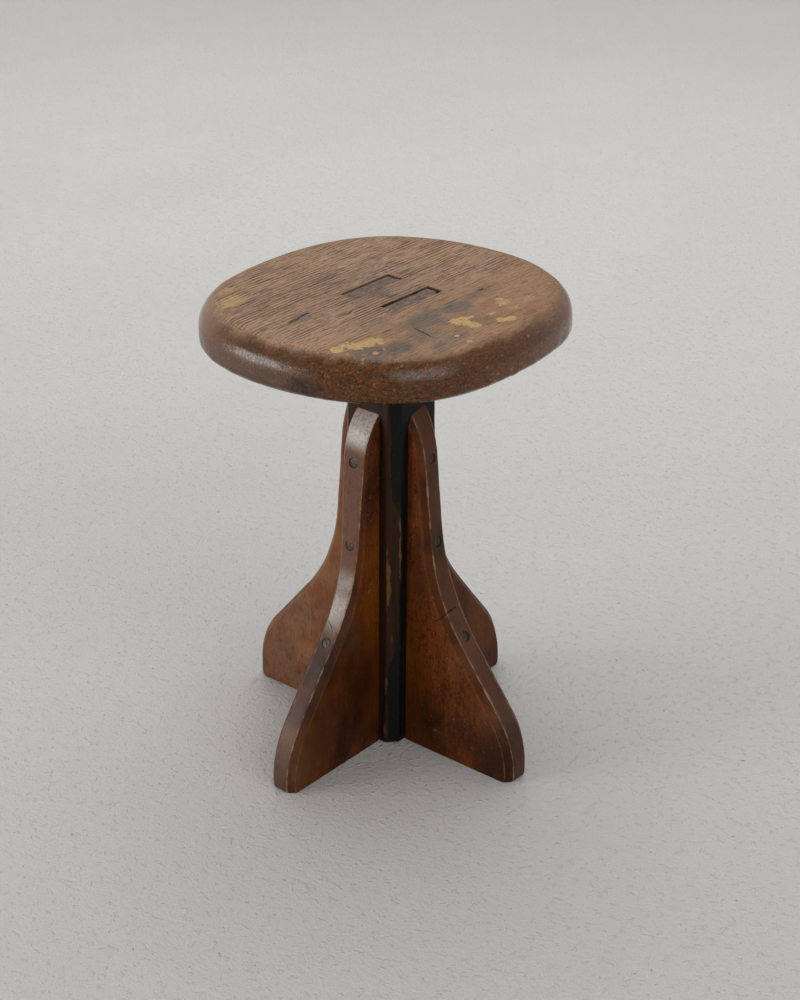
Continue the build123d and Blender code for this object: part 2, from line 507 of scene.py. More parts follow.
class Finish:
    """A node material that is being put together."""

    def __init__(self, name):
        self.material = bpy.data.materials.new(name)
        self.material.use_nodes = True
        self.tree = self.material.node_tree
        self.tree.nodes.clear()
        self.place = self.node("TexCoord", output="Object")

    def node(self, kind, inputs=None, output=0, **settings):
        """Add a shader node and give back one of its outputs."""
        return add_node(self.tree, f"ShaderNode{kind}", inputs, **settings).outputs[output]

    def maths(self, operation, a, b=0.0, clamp=False):
        return self.node("Math", {0: a, 1: b}, operation=operation, use_clamp=clamp)

    def times(self, a, b):
        return self.maths("MULTIPLY", a, b)

    def plus(self, a, b):
        return self.maths("ADD", a, b)

    def mix(self, factor, a, b, blend="MIX"):
        """Blend two colours, given as sockets or as linear RGB."""
        a, b = (c if isinstance(c, bpy.types.NodeSocket) else (*c[:3], 1.0) for c in (a, b))
        return self.node("Mix", {0: factor, 6: a, 7: b}, 2, data_type="RGBA", blend_type=blend)

    def tint(self, under, share, code, part=None):
        """Lay a written colour over another by a share, or by a part of that share."""
        share = share if part is None else self.times(share, part)
        return self.mix(share, under, hue(code))

    def band(self, value, low, high, start=0.0, end=1.0):
        """A smooth step from start to end as the value goes from low to high."""
        inputs = {0: value, 1: low, 2: high, 3: start, 4: end}
        return self.node("MapRange", inputs, interpolation_type="SMOOTHSTEP")

    def stretch(self, scale, place=None, shift=(0, 0, 0)):
        inputs = {"Vector": place or self.place, "Scale": scale, "Location": shift}
        return self.node("Mapping", inputs)

    def noise(self, scale, detail=3.0, rough=0.55, bend=0.0, place=None, shift=(0, 0, 0)):
        """Noise with its own scale along x, y and z, in waves a metre."""
        scale = scale if isinstance(scale, tuple) else (scale,) * 3
        inputs = {"Vector": self.stretch(scale, place, shift), "Scale": 1.0, "Detail": detail}
        inputs.update({"Roughness": rough, "Distortion": bend})
        return self.node("TexNoise", inputs)

    def rings(self, period, wander, place):
        """Year rings along y that come round once a period, from 0 to 1."""
        inputs = {"Vector": self.stretch((1, 0.05, 1), place), "Scale": 0.314 / period}
        inputs.update({"Distortion": wander, "Detail": 2.0, "Detail Scale": 1.0})
        return self.node("TexWave", inputs, "Fac", bands_direction="X")

    def attribute(self, name):
        return self.node("Attribute", output="Fac", attribute_name=name)

    def marked(self, name, rough_edge, low, high, end=1.0, part=None):
        """Share of a painted mark, or of a part of it, with its edge broken up by noise."""
        mark = self.attribute(name)
        mark = mark if part is None else self.times(mark, part)
        return self.band(self.plus(mark, rough_edge), low, high, 0.0, end)

    def vector(self, operation, a, b, output=0):
        return self.node("VectorMath", {0: a, 1: b}, output, operation=operation)

    def warped(self, scale, reach):
        """Object coordinates pushed about by smooth noise."""
        inputs = {"Vector": self.stretch(scale), "Scale": 1.0, "Detail": 2.0}
        centred = self.vector("SUBTRACT", self.node("TexNoise", inputs, "Color"), (0.5, 0.5, 0.5))
        return self.vector("ADD", self.place, self.vector("MULTIPLY", centred, reach))

    def bump(self, height, distance, strength=1.0, below=None):
        inputs = {"Height": height, "Distance": distance, "Strength": strength}
        if below is not None:
            inputs["Normal"] = below
        return self.node("Bump", inputs)

    def surface(self, colour, roughness, normal, **sockets):
        inputs = {"Base Color": colour, "Roughness": roughness, "Normal": normal}
        inputs.update({key.replace("_", " "): value for key, value in sockets.items()})
        shader = self.node("BsdfPrincipled", inputs)
        add_node(self.tree, "ShaderNodeOutputMaterial", {"Surface": shader})
        return self.material


def seat_finish():
    """Worn plank: open dark grain, ochre paint chips, dark varnish round the rim."""
    tone = colours()
    f = Finish("seat_wood")
    rim, opened = f.attribute("rim"), f.attribute("open")
    bent = f.warped((9, 3, 9), (0.010, 0.0, 0.004))
    streaks = f.noise((110, 7, 110), 5, 0.62, place=bent)
    fine = f.noise((900, 60, 900), 3, 0.6, place=bent)
    blotch = f.noise((18, 12, 18), 5, 0.62)
    mottle = f.noise((150, 90, 150), 5, 0.7)
    wood = f.mix(f.band(streaks, 0.2, 0.68, 0.45, 1.0), tone.seat_dark, tone.seat_light)
    wood = f.tint(wood, f.band(blotch, 0.38, 0.72, 0.0, 0.5), "7B5A42")
    wood = f.tint(wood, f.times(f.attribute("bare"), f.band(blotch, 0.3, 0.6)), "AA886B", 0.7)
    wood = f.tint(wood, f.band(mottle, 0.48, 0.72, 0.0, 0.32), "533B2A")
    wood = f.tint(wood, f.band(fine, 0.44, 0.62, 0.0, 0.5), "462B17")
    pale = f.noise((700, 90, 700), 4, 0.66, place=bent, shift=(1, 1, 0))
    wood = f.tint(wood, f.band(pale, 0.56, 0.7), "B08E72", 0.4)
    wood = f.tint(wood, f.band(opened, 0.3, 1.1, 0.5, 0.0), "85603F")
    wood = f.tint(wood, f.marked("soot", f.noise((60, 30, 60), 5, 0.65), 0.78, 1.25), "4E4843", 0.72)

    # Old varnish round the rim, crazed, ambered and scored.
    shade = f.noise((45, 9, 45), 4, 0.6, place=bent, shift=(2, 0, 0))
    varnish = f.tint(tone.seat_rim, f.band(shade, 0.35, 0.68), "5E3517")
    crackle = f.noise((620, 420, 520), 4, 0.74, shift=(6, 0, 2))
    varnish = f.tint(varnish, f.band(crackle, 0.5, 0.6, 0.0, 0.75), "1A0D07")
    varnish = f.tint(varnish, f.band(crackle, 0.44, 0.34, 0.0, 0.16), "7C5230")
    amber = f.mix(f.band(f.noise((300, 80, 380), 5, 0.78), 0.33, 0.7), hue("1E0F05"), hue("6A3B0A"))
    varnish = f.mix(f.marked("umber", f.noise((55, 40, 55), 5, 0.65), 0.8, 1.3, 0.9), varnish, amber)
    # Painted sheen: a pale grey tint on the rim at its left end and at its back right.
    varnish = f.tint(varnish, f.attribute("painted_rim_sheen"), "927668", 0.7)
    ash = f.marked("ash", f.noise((80, 60, 80), 5, 0.68), 0.85, 1.2, 0.6)
    varnish = f.tint(varnish, ash, "4A382A")
    scored = f.band(f.noise((520, 110, 380), 4, 0.74), 0.58, 0.66)
    varnish = f.tint(varnish, scored, "9C7A50", 0.5)
    pitch = f.marked("pitch", f.noise((160, 160, 260), 5, 0.74), 0.86, 1.16, 0.85)
    varnish = f.tint(varnish, pitch, "1D140E")
    over = f.band(f.plus(rim, f.times(f.noise((70, 24, 70), 5, 0.65), 0.8)), 0.72, 1.25)
    wood = f.mix(over, wood, varnish)

    # Open grain: year lines, short ticks and pores.
    wavy = f.warped((26, 9, 26), (0.005, 0.0, 0.004))
    lines = f.band(f.rings(0.0041, 3.4, wavy), 0.82, 0.94)
    gate = f.band(f.noise((42, 14, 42), 5, 0.7, place=bent, shift=(5, 0, 0)), 0.42, 0.6)
    lines = f.times(lines, f.maths("MULTIPLY", gate, opened, clamp=True))
    ticks = f.noise((760, 34, 760), 2.5, 0.55, place=bent, shift=(0, 3, 0))
    ticks = f.times(f.band(ticks, 0.61, 0.66), f.band(opened, 0, 1, 0.55, 0.8))
    grain = f.times(f.maths("MAXIMUM", lines, ticks), f.band(rim, 0.25, 0.8, 1.0, 0.3))
    pores = f.band(f.noise((1100, 160, 1100), 2, 0.5, place=bent), 0.6, 0.7, 0.0, 0.6)
    grain = f.maths("MAXIMUM", grain, pores)
    wood = f.tint(wood, grain, "25160C", 0.92)

    # Chips and scratches of ochre paint, then the carved cracks.
    chips = f.marked("chips", f.noise((170, 120, 170), 5, 0.7, shift=(3, 1, 0)), 0.928, 0.946, part=0.66)
    ochre = f.tint(tone.ochre, f.band(f.noise(300, 3, 0.6), 0.35, 0.7), "9A7D50")
    wood = f.mix(chips, wood, ochre)
    scratch = f.noise((480, 260, 480), 5, 0.8, place=bent, shift=(0, 4, 0))
    haze = f.marked("haze", scratch, 1.02, 1.12, part=0.75)
    wood = f.tint(wood, haze, "B08F60", 0.6)
    wood = f.tint(wood, f.marked("flecks", f.noise((380, 260, 380), 4, 0.72), 1.09, 1.15), "A8782F", 0.85)
    # Painted shade: dark colour in the cracks and down the mortise walls.
    wood = f.tint(wood, f.attribute("recess_shade"), "1A120D")

    rough = f.plus(f.band(over, 0, 1, 0.6, 0.13), f.band(blotch, 0.3, 0.7, -0.04, 0.08))
    rough = f.plus(rough, f.times(f.attribute("ash"), 0.1))
    rough = f.maths("ADD", rough, f.times(grain, 0.25), clamp=True)
    normal = f.bump(f.maths("SUBTRACT", 1.0, grain), 0.0003, 0.9)
    normal = f.bump(fine, 0.00018, 0.6, normal)
    normal = f.bump(f.plus(chips, f.times(haze, 0.3)), 0.00015, 0.8, normal)
    normal = f.bump(f.times(mottle, f.band(over, 0, 1, 1.0, 0.35)), 0.0006, 0.7, normal)
    normal = f.bump(scored, 0.0002, -0.5, normal)
    return f.surface(wood, rough, normal, Specular_IOR_Level=0.35)


def fin_finish(name, handled):
    """Amber varnish on a fin's sides, or the dark handled wood along its edge."""
    tone = colours()
    f = Finish(name)
    bent = f.warped((14, 14, 4), (0.006, 0.006, 0.0))
    blotch = f.noise((22, 22, 12), 5, 0.62)
    fine = f.noise((520, 520, 30), 3, 0.6, place=bent)
    if handled:
        gloss_and_highlight = f.attribute("gloss_and_highlight")
        wood = f.tint(tone.fin_brown, f.band(blotch, 0.35, 0.7), "3B2415")
        crazed = f.band(f.noise(430, 4, 0.72, shift=(8, 3, 1)), 0.42, 0.58, 0.72, 1.06)
        # Painted highlight: where the gloss marks are strong, the edge is painted pale grey.
        painted_highlight = f.mix(f.band(gloss_and_highlight, 0.25, 0.6), hue("A8775B"), hue("B8AEA7"))
        wood = f.mix(f.times(gloss_and_highlight, crazed), wood, painted_highlight)
        wood = f.tint(wood, f.band(fine, 0.42, 0.7, 0.0, 0.25), "2A190F")
        tip, tip_share = "9C7C60", 0.58
    else:
        low = f.attribute("low_toward_toe")
        streaks = f.noise((90, 90, 4), 4, 0.62, place=bent)
        wood = f.tint(tone.fin_amber, f.band(streaks, 0.3, 0.75, 0.0, 0.7), "552A0A")
        wood = f.tint(wood, f.band(blotch, 0.4, 0.66, 0.0, 0.9), "351804")
        grit = f.noise((300, 300, 150), 5, 0.78, shift=(3, 3, 8))
        wood = f.tint(wood, f.band(grit, 0.5, 0.62, 0.0, 0.75), "200E04")
        glow = f.noise((9, 9, 6), 3, 0.6, shift=(4, 1, 2))
        wood = f.tint(wood, f.band(glow, 0.46, 0.66, 0.0, 0.6), "82460A")
        wood = f.tint(wood, f.band(fine, 0.42, 0.7, 0.0, 0.3), "2A1406")
        specks = f.noise((520, 520, 380), 3, 0.66, shift=(1, 7, 2))
        wood = f.tint(wood, f.band(specks, 0.64, 0.69), "A06A36", 0.65)
        # Darker towards the bottom and out towards the toe.
        wood = f.tint(wood, f.band(f.plus(low, blotch), 0.7, 1.5, 0.0, 0.6), "2C1606")
        streak = f.marked("streak", f.noise((200, 200, 90), 5, 0.7), 0.98, 1.14, 0.6)
        wood = f.tint(wood, streak, "5A2009")
        grime = f.mix(f.band(f.noise(34, 5, 0.66), 0.3, 0.7), hue("33190A"), hue("582C08"))
        wood = f.mix(f.band(f.attribute("edge"), 0.05, 0.35, 0.0, 0.85), wood, grime)
        tip, tip_share = "7E5026", f.band(low, 0.0, 0.6, 0.15, 0.6)
    # Pale worn wood; on the back left fin this is painted light.
    pale = f.times(f.attribute("pale"), f.band(f.noise(44, 5, 0.7), 0.34, 0.62, 0.4, 1.0))
    wood = f.tint(wood, pale, "8C6850")
    # Painted shade: the deep marks multiply the wood darker.
    painted_shade = f.times(f.attribute("deep"), f.band(blotch, 0.25, 0.6, 0.8, 1.0))
    wood = f.mix(painted_shade, wood, hue("877768"), "MULTIPLY")
    worn = f.marked("arris", f.noise((110, 110, 70), 5, 0.68), 0.96, 1.2, part=0.62)
    worn = f.times(worn, tip_share)
    wood = f.tint(wood, worn, tip)
    pores = f.noise((900, 900, 110), 2, 0.5, place=bent)
    wood = f.tint(wood, f.band(pores, 0.6, 0.7, 0.0, 0.6), "1E0F06")
    scuffs = f.band(f.noise((38, 38, 52), 6, 0.76, shift=(1, 7, 2)), 0.64, 0.72)
    wood = f.tint(wood, scuffs, "97704A", 0.4)
    # Painted shade: dark colour inside the cracks and worm holes.
    wood = f.tint(wood, f.attribute("recess_shade"), "140C07")
    normal = f.bump(fine, 0.00012, 0.5)
    normal = f.bump(f.noise((70, 70, 30), 4, 0.6), 0.0007, 0.5, normal)
    normal = f.bump(scuffs, 0.0001, 0.5, normal)
    if handled:
        rough = f.band(f.noise((40, 40, 26), 4, 0.6, shift=(4, 4, 4)), 0.35, 0.65, 0.05, 0.2)
        rough = f.plus(rough, f.band(gloss_and_highlight, 0.0, 1.0, 0.38, 0.08))
        return f.surface(wood, f.plus(rough, f.times(worn, 0.12)), normal, Specular_IOR_Level=0.22)
    rough = f.plus(f.band(blotch, 0.3, 0.7, 0.4, 0.55), f.times(worn, 0.15))
    return f.surface(wood, rough, normal, Specular_IOR_Level=0.12)


def post_finish():
    """Black green paint worn through to brown, with bare grey tenon ends."""
    tone = colours()
    f = Finish("painted_wood")
    bent = f.warped((14, 14, 4), (0.005, 0.005, 0.0))
    streaks = f.noise((120, 120, 5), 4, 0.6, place=bent)
    brown = f.mix(f.band(streaks, 0.35, 0.7), hue("2E1A0E"), hue("1A0E07"))
    bare = f.marked("worn", f.noise((75, 75, 26), 6, 0.7), 0.86, 0.92)
    wood = f.mix(bare, tone.post_paint, brown)
    tan = f.noise((230, 230, 50), 6, 0.74, shift=(2, 2, 2))
    wood = f.tint(wood, f.marked("tan", tan, 0.9, 1.02, 0.85), "66421F")
    dents = f.noise((420, 420, 200), 4, 0.72, shift=(5, 5, 5))
    wood = f.tint(wood, f.band(dents, 0.6, 0.68), "4A3019", 0.35)
    across = f.noise((300, 90, 60), 4, 0.65)
    end_wood = f.mix(f.band(across, 0.35, 0.7), hue("725F53"), hue("4A3D34"))
    wood = f.mix(f.attribute("end"), wood, end_wood)
    # Painted shade: dark colour down the tenon sides inside the mortises.
    wood = f.tint(wood, f.attribute("recess_shade"), "120D09")
    normal = f.bump(f.maths("SUBTRACT", 1.0, bare), 0.00015, 0.8)
    normal = f.bump(f.noise((300, 300, 40), 4, 0.6), 0.00025, 0.5, normal)
    return f.surface(wood, f.band(bare, 0, 1, 0.38, 0.5), normal, Specular_IOR_Level=0.12)


def screw_finish():
    """Dull steel, darkened and a little rusty."""
    f = Finish("screw_steel")
    spots = f.noise(900, 5, 0.65)
    metal = f.tint(colours().screw_steel, f.band(spots, 0.4, 0.7), "33251C")
    normal = f.bump(f.noise(1400, 4, 0.6), 0.0001, 0.6)
    return f.surface(metal, f.band(spots, 0.3, 0.7, 0.42, 0.65), normal, Metallic=0.55)


def floor_finish():
    """Painted concrete: pale, faintly trowelled, with a few specks."""
    f = Finish("floor_paint")
    drift = f.noise((3.2, 2.1, 1), 4, 0.55)
    coat = f.tint(colours().floor_grey, f.band(drift, 0.3, 0.7), "D5D4D1")
    coat = f.tint(coat, f.band(f.noise(22, 5, 0.6), 0.35, 0.8, 0.0, 0.15), "C9C8C5")
    # Painted shade: the floor is darker towards the camera, standing in for the light falling off.
    away = f.vector("DOT_PRODUCT", f.place, (-0.45, 0.89, 0), "Value")
    coat = f.tint(coat, f.band(away, -0.6, 2.2, 0.85, 0.0), "AFAEAD")
    specks = f.band(f.noise(150, 2, 0.5, shift=(5, 2, 0)), 0.735, 0.75)
    coat = f.tint(coat, specks, "5E5A52", 0.7)
    grains = f.band(f.noise(120, 3, 0.6, shift=(7, 1, 0)), 0.56, 0.68)
    normal = f.bump(f.noise((24, 30, 1), 3, 0.55, 0.3), 0.0006, 0.4)
    normal = f.bump(f.noise(210, 5, 0.72), 0.0020, 0.9, normal)
    normal = f.bump(grains, 0.0007, 0.9, normal)
    normal = f.bump(specks, 0.0008, -0.8, normal)
    return f.surface(coat, 0.45, normal)


# Seat ----------


def seat_reach(angle):
    """Distance from the middle to the rim, in metres."""
    reach = SEAT_RADIUS
    for order, cosine, sine in SEAT_WAVES:
        reach = reach + cosine * np.cos(order * angle) + sine * np.sin(order * angle)
    return reach * MM


def seat_profile(top, bottom):
    """Rings round the rim as inset, height, outward share and upward share."""
    size = sizes()
    upper = top - size.top_round
    lower = bottom + size.under_round
    rings = []
    for i in range(1, TOP_ROUND_STEPS + 1):
        turn = math.pi / 2 * i / TOP_ROUND_STEPS
        inset = size.top_round * (1 - math.sin(turn))
        drop = size.top_round * (1 - math.cos(turn))
        rings.append((inset, top - drop, math.sin(turn), math.cos(turn)))
    for share in (0.2, 0.4, 0.6, 0.8, 1.0):
        rings.append((0.0, upper + (lower - upper) * share, 1.0, 0.0))
    for i in range(1, UNDER_ROUND_STEPS + 1):
        turn = math.pi / 2 * i / UNDER_ROUND_STEPS
        inset = size.under_round * (1 - math.cos(turn))
        rings.append((inset, lower - size.under_round * math.sin(turn), math.cos(turn), -math.sin(turn)))
    return rings


def lines_between(stops, pitch):
    """Evenly spaced numbers that include every stop."""
    out = [stops[0]]
    for a, b in zip(stops, stops[1:]):
        count = max(1, round((b - a) / pitch))
        out += [a + (b - a) * (i + 1) / count for i in range(count)]
    return out


def seat_dips(x, y):
    """Hollows worn in the flat top, in metres."""
    dip = 0.0007 * ripple((x, y, 0), 11, 3.1) + 0.0003 * ripple((x, y, 0), 34, 8.2)
    return dip + 0.00022 * ripple((x * 5, y * 0.6, 0), 40, 1.3)


def nearest(values, target):
    return min(range(len(values)), key=lambda k: abs(values[k] - target))


def build_seat():
    size = sizes()
    low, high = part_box("seat")
    top, bottom = high.z, low.z
    tenon_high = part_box("post")[1]
    half_length = tenon_high.y + MORTISE_SPARE
    outer = tenon_high.x + MORTISE_SPARE
    inner = outer - MORTISE_WIDTH
    half_x, half_y = SEAT_BLOCK
    xs = lines_between([-half_x, -outer, -inner, inner, outer, half_x], SEAT_PITCH)
    ys = lines_between([-half_y, -half_length, half_length, half_y], SEAT_PITCH)
    columns, rows = len(xs), len(ys)
    upper, lower = 0, columns * rows
    points, normals, faces = [], [], []

    def add(x, y, z, *normal):
        points.append((x, y, z))
        normals.append(normal)
        return len(points) - 1

    def over_mortise(face):
        x, y = (sum(points[k][axis] for k in face) / 4 for axis in (0, 1))
        return inner < abs(x) < outer and abs(y) < half_length

    def block_ring(start, loop):
        return [start + j * columns + i for i, j in loop]

    # A fine grid over and under the middle of the plank, open at the mortises.
    for start, height, up in ((upper, top, 1), (lower, bottom, -1)):
        for y in ys:
            for x in xs:
                add(x, y, height, 0, 0, up)
        faces += [face[::up] for face in sheet(columns, rows, start) if not over_mortise(face)]

    # Walls of the two mortises, from the top layer down to the bottom one.
    for side in (-1, 1):
        i0, i1 = (nearest(xs, x) for x in sorted((side * inner, side * outer)))
        j0, j1 = (nearest(ys, y) for y in (-half_length, half_length))
        loop = rectangle_loop(i0, i1, j0, j1)
        rings = [block_ring(upper, loop)]
        for step in range(1, MORTISE_STEPS):
            height = top + (bottom - top) * step / MORTISE_STEPS
            rings.append([add(xs[i], ys[j], height, 0, 0, 0) for i, j in loop])
        faces += band_faces(rings + [block_ring(lower, loop)])

    # From the edge of the block out over the rim and back under.
    border = rectangle_loop(0, columns - 1, 0, rows - 1)
    angles = [math.atan2(ys[j], xs[i]) for i, j in border]
    reaches = [float(seat_reach(a)) for a in angles]
    rings = [block_ring(upper, border)]

    def rim_ring(share, inset, height, out, up):
        """A ring some share of the way from the block to the rim, less an inset."""
        ring = []
        for (i, j), angle, reach in zip(border, angles, reaches):
            across, along = math.cos(angle), math.sin(angle)
            x = xs[i] + ((reach - inset) * across - xs[i]) * share
            y = ys[j] + ((reach - inset) * along - ys[j]) * share
            ring.append(add(x, y, height, out * across, out * along, up))
        rings.append(ring)

    for step in range(1, FLAT_STEPS + 1):
        rim_ring(step / FLAT_STEPS, size.top_round, top, 0.0, 1.0)
    for inset, height, out, up in seat_profile(top, bottom):
        rim_ring(1.0, inset, height, out, up)
    for step in range(1, UNDER_STEPS):
        rim_ring(1 - step / UNDER_STEPS, size.under_round, bottom, 0.0, -1.0)
    faces += band_faces(rings + [block_ring(lower, border)])

    # Hand-made unevenness, least under the seat where it sits on the post.
    shaped = []
    for point, normal in zip(points, normals):
        x, y, z = point
        if normal[2] > 0.9:
            push = seat_dips(x, y) - SEAT_WEAR
        elif normal[2] < -0.9:
            push = -0.0002
        elif normal == (0, 0, 0):
            push = 0.0
        else:
            push = 0.0009 * ripple(point, 16, 5.0) + 0.00045 * ripple(point, 55, 2.0) - 0.0007
            if z < bottom + ROUGH_RIM:
                push += 0.0006 * ripple(point, 120, 6.0)
        shaped.append(tuple(p + n * push for p, n in zip(point, normal)))
    seat = make_piece("seat_plank", shaped, faces)
    clean(seat)

    deck = top - SEAT_WEAR
    cutters = []
    for width, depth, line in SEAT_CRACKS:
        line = [(x * MM, y * MM, deck - drop * MM) for x, y, drop in line]
        cutters.append(wedge(line, (0, 0, -1), width * MM, depth * MM))
    carved = carve(seat, cutters)
    soften(seat, 38)

    x, y, z = place_of(seat).T
    angle = np.arctan2(y, x)
    inset = seat_reach(angle) - np.hypot(x, y)

    def round_at(middle, reach):
        away = np.angle(np.exp(1j * (angle - middle)))
        return np.exp(-0.5 * (away / reach) ** 2)

    def below(depth):
        return np.clip((top - depth - z) / 0.008, 0, 1)

    rim = np.clip(1.1 - inset / (0.022 + 0.006 * round_at(-1.3, 0.9)), 0, 1) * (z > bottom + 0.001)
    paint(seat, "rim", np.maximum(rim, z < top - TOP_DEPTH))
    for mark, rows in SEAT_MARKS.items():
        paint(seat, mark, marks_over(rows, x, y) * (z > top - TOP_DEPTH))
    paint(seat, "open", 1.1 - 0.8 / (1 + np.exp(-(x / MM - 42) / 9)))
    paint(seat, "flecks", round_at(-1.35, 0.3) * np.exp(-(((inset - 0.017) / 0.008) ** 2)) * 0.58)
    # Painted sheen on the rim's left end and back right.
    paint(seat, "painted_rim_sheen", round_at(-2.45, 0.3) + 0.4 * round_at(0.7, 0.4))
    paint(seat, "umber", round_at(-0.95, 0.34) * (z < top - 0.0015))
    paint(seat, "ash", round_at(-1.95, 0.5) * below(0.014))
    paint(seat, "pitch", round_at(-1.36, 0.12) * 0.62 * below(0.017))
    # Painted shade inside the plank: the mortise walls and the carved cracks.
    inside = (np.abs(z - (top + bottom) / 2) < (top - bottom) / 2 - 0.0014) & (inset > 0.03)
    paint(seat, "recess_shade", inside | (carved > CARVED))
    return seat


# Fins ----------


def fin_line(edge, face):
    """Outer edge of a fin as rows of reach, height and the two parts of its outward normal."""
    reach, toe, shoulder, slope, run, hollow, lean, shank, crown = edge
    slope, lean = math.radians(slope), math.radians(lean)
    rows = [(reach, h, 1.0, 0.0) for h in np.linspace(0, toe, 4)[:-1]]

    def arc(centre, radius, start, end, count):
        for turn in np.linspace(start, end, count):
            out = (math.cos(turn), math.sin(turn))
            rows.append((centre[0] + radius * out[0], centre[1] + radius * out[1], *out))

    def straight(direction, length, count):
        r, h, *_ = rows[-1]
        out = (math.cos(direction), math.sin(direction))
        for share in np.linspace(0, 1, count)[1:]:
            step = length * share
            rows.append((r - out[1] * step, h + out[0] * step, *out))

    arc((reach - shoulder, toe), shoulder, 0.0, slope, 40)
    straight(slope, run, 30)
    r, h = rows[-1][:2]
    arc((r + hollow * math.cos(slope), h + hollow * math.sin(slope)), -hollow, slope, lean, 50)
    straight(lean, shank, 30)
    r, h = rows[-1][:2]
    centre = (r - crown * math.cos(lean), h - crown * math.sin(lean))
    last = math.acos(min(1.0, (face - centre[0]) / crown))
    arc(centre, crown, lean, last, 30)
    return np.array(rows)


def column_spots(chamfers, wear):
    """Points across the edge: depth below the outline, place across, arris and edge shares."""

    def corner(at, before, after, edge):
        start, end = at + before * wear, at + after * wear
        middle = start * 0.25 + at * 0.5 + end * 0.25
        return [(start, 0.7, edge), (middle, 1.0, edge), (end, 0.7, edge)]

    def side(sign, chamfer):
        slant = np.array([-1.0, -sign]) / math.sqrt(2)
        inner = np.array([chamfer, sign * FIN_HALF])
        outer = np.array([0.0, sign * (FIN_HALF - chamfer)])
        run = corner(inner, np.array([1.0, 0.0]), slant, 0.0)
        run += [(inner + (outer - inner) * share, 0.0, 0.5) for share in (0.33, 0.67)]
        return run + corner(outer, -slant, np.array([0.0, -sign]), 1.0)

    low, high = side(-1, chamfers[0]), side(1, chamfers[1])
    left, right = low[-1][0], high[-1][0]
    flat = [(left + (right - left) * share, 0.0, 1.0) for share in (0.2, 0.4, 0.6, 0.8)]
    return low + flat + high[::-1]


def edge_spot(name, height):
    """Middle of a fin's edge at a height in mm, and the way it faces, for a fin along +X."""
    spots = []
    for edge in FIN_EDGES[name]:
        curve = fin_line(edge, INSIDE_POST)
        spots.append([np.interp(height, curve[:, 1], curve[:, k]) for k in (0, 2, 3)])
    reach, out_r, out_h = np.mean(spots, axis=0)
    outward = Vector((out_r, 0.0, out_h)).normalized()
    return Vector((reach, 0.0, height)) * MM, outward


def fin_flaws(name):
    """Cutters for cracks and worm holes, for a fin along +X."""
    cutters = []
    if name == "front_right":
        spot, outward = edge_spot(name, 154)
        rows = ((-13.8, 5.8, -4.5), (-11, 3, -3), (-8, 0.2, -1.2), (-4, 0, -0.2), (0, 0, 0.6), (4, 0, 1))
        line = [spot + Vector((0, y, dz)) * MM - outward * sunk * MM for y, sunk, dz in rows]
        cutters.append(wedge(line, -outward, 0.0015, 0.0030))
        line = [Vector((x, -FIN_HALF, z)) * MM for x, z in ((66, 144), (70, 146), (74, 147.5))]
        cutters.append(wedge(line, (0, 1, 0), 0.0014, 0.0022))
        chip = Vector((spot.x - 0.0042, -0.0135, spot.z - 0.001))
        line = [chip + Vector((-dz * 0.7, 0, dz)) for dz in (-0.012, -0.007, -0.002, 0.003)]
        cutters.append(wedge(line, (-0.7, 0.7, 0), 0.0060, 0.0024))
    if name == "front_left":
        spot, outward = edge_spot(name, 142)
        rows = ((-7, 4.5), (-4, 2.5), (-1, 1.0), (2, -3.0))
        line = [spot + Vector((dz * 0.7 * -MM, y * MM, dz * MM)) for y, dz in rows]
        cutters.append(wedge(line, -outward, 0.0010, 0.0012))
    across, radius, holes = WORM_HOLES.get(name, (0, 0, ()))
    for x, z in holes:
        outwards = (0, math.copysign(1, across), 0)
        cutters.append(rod(Vector((x, across, z)) * MM, outwards, radius * MM, 0.006, 10))
    return cutters


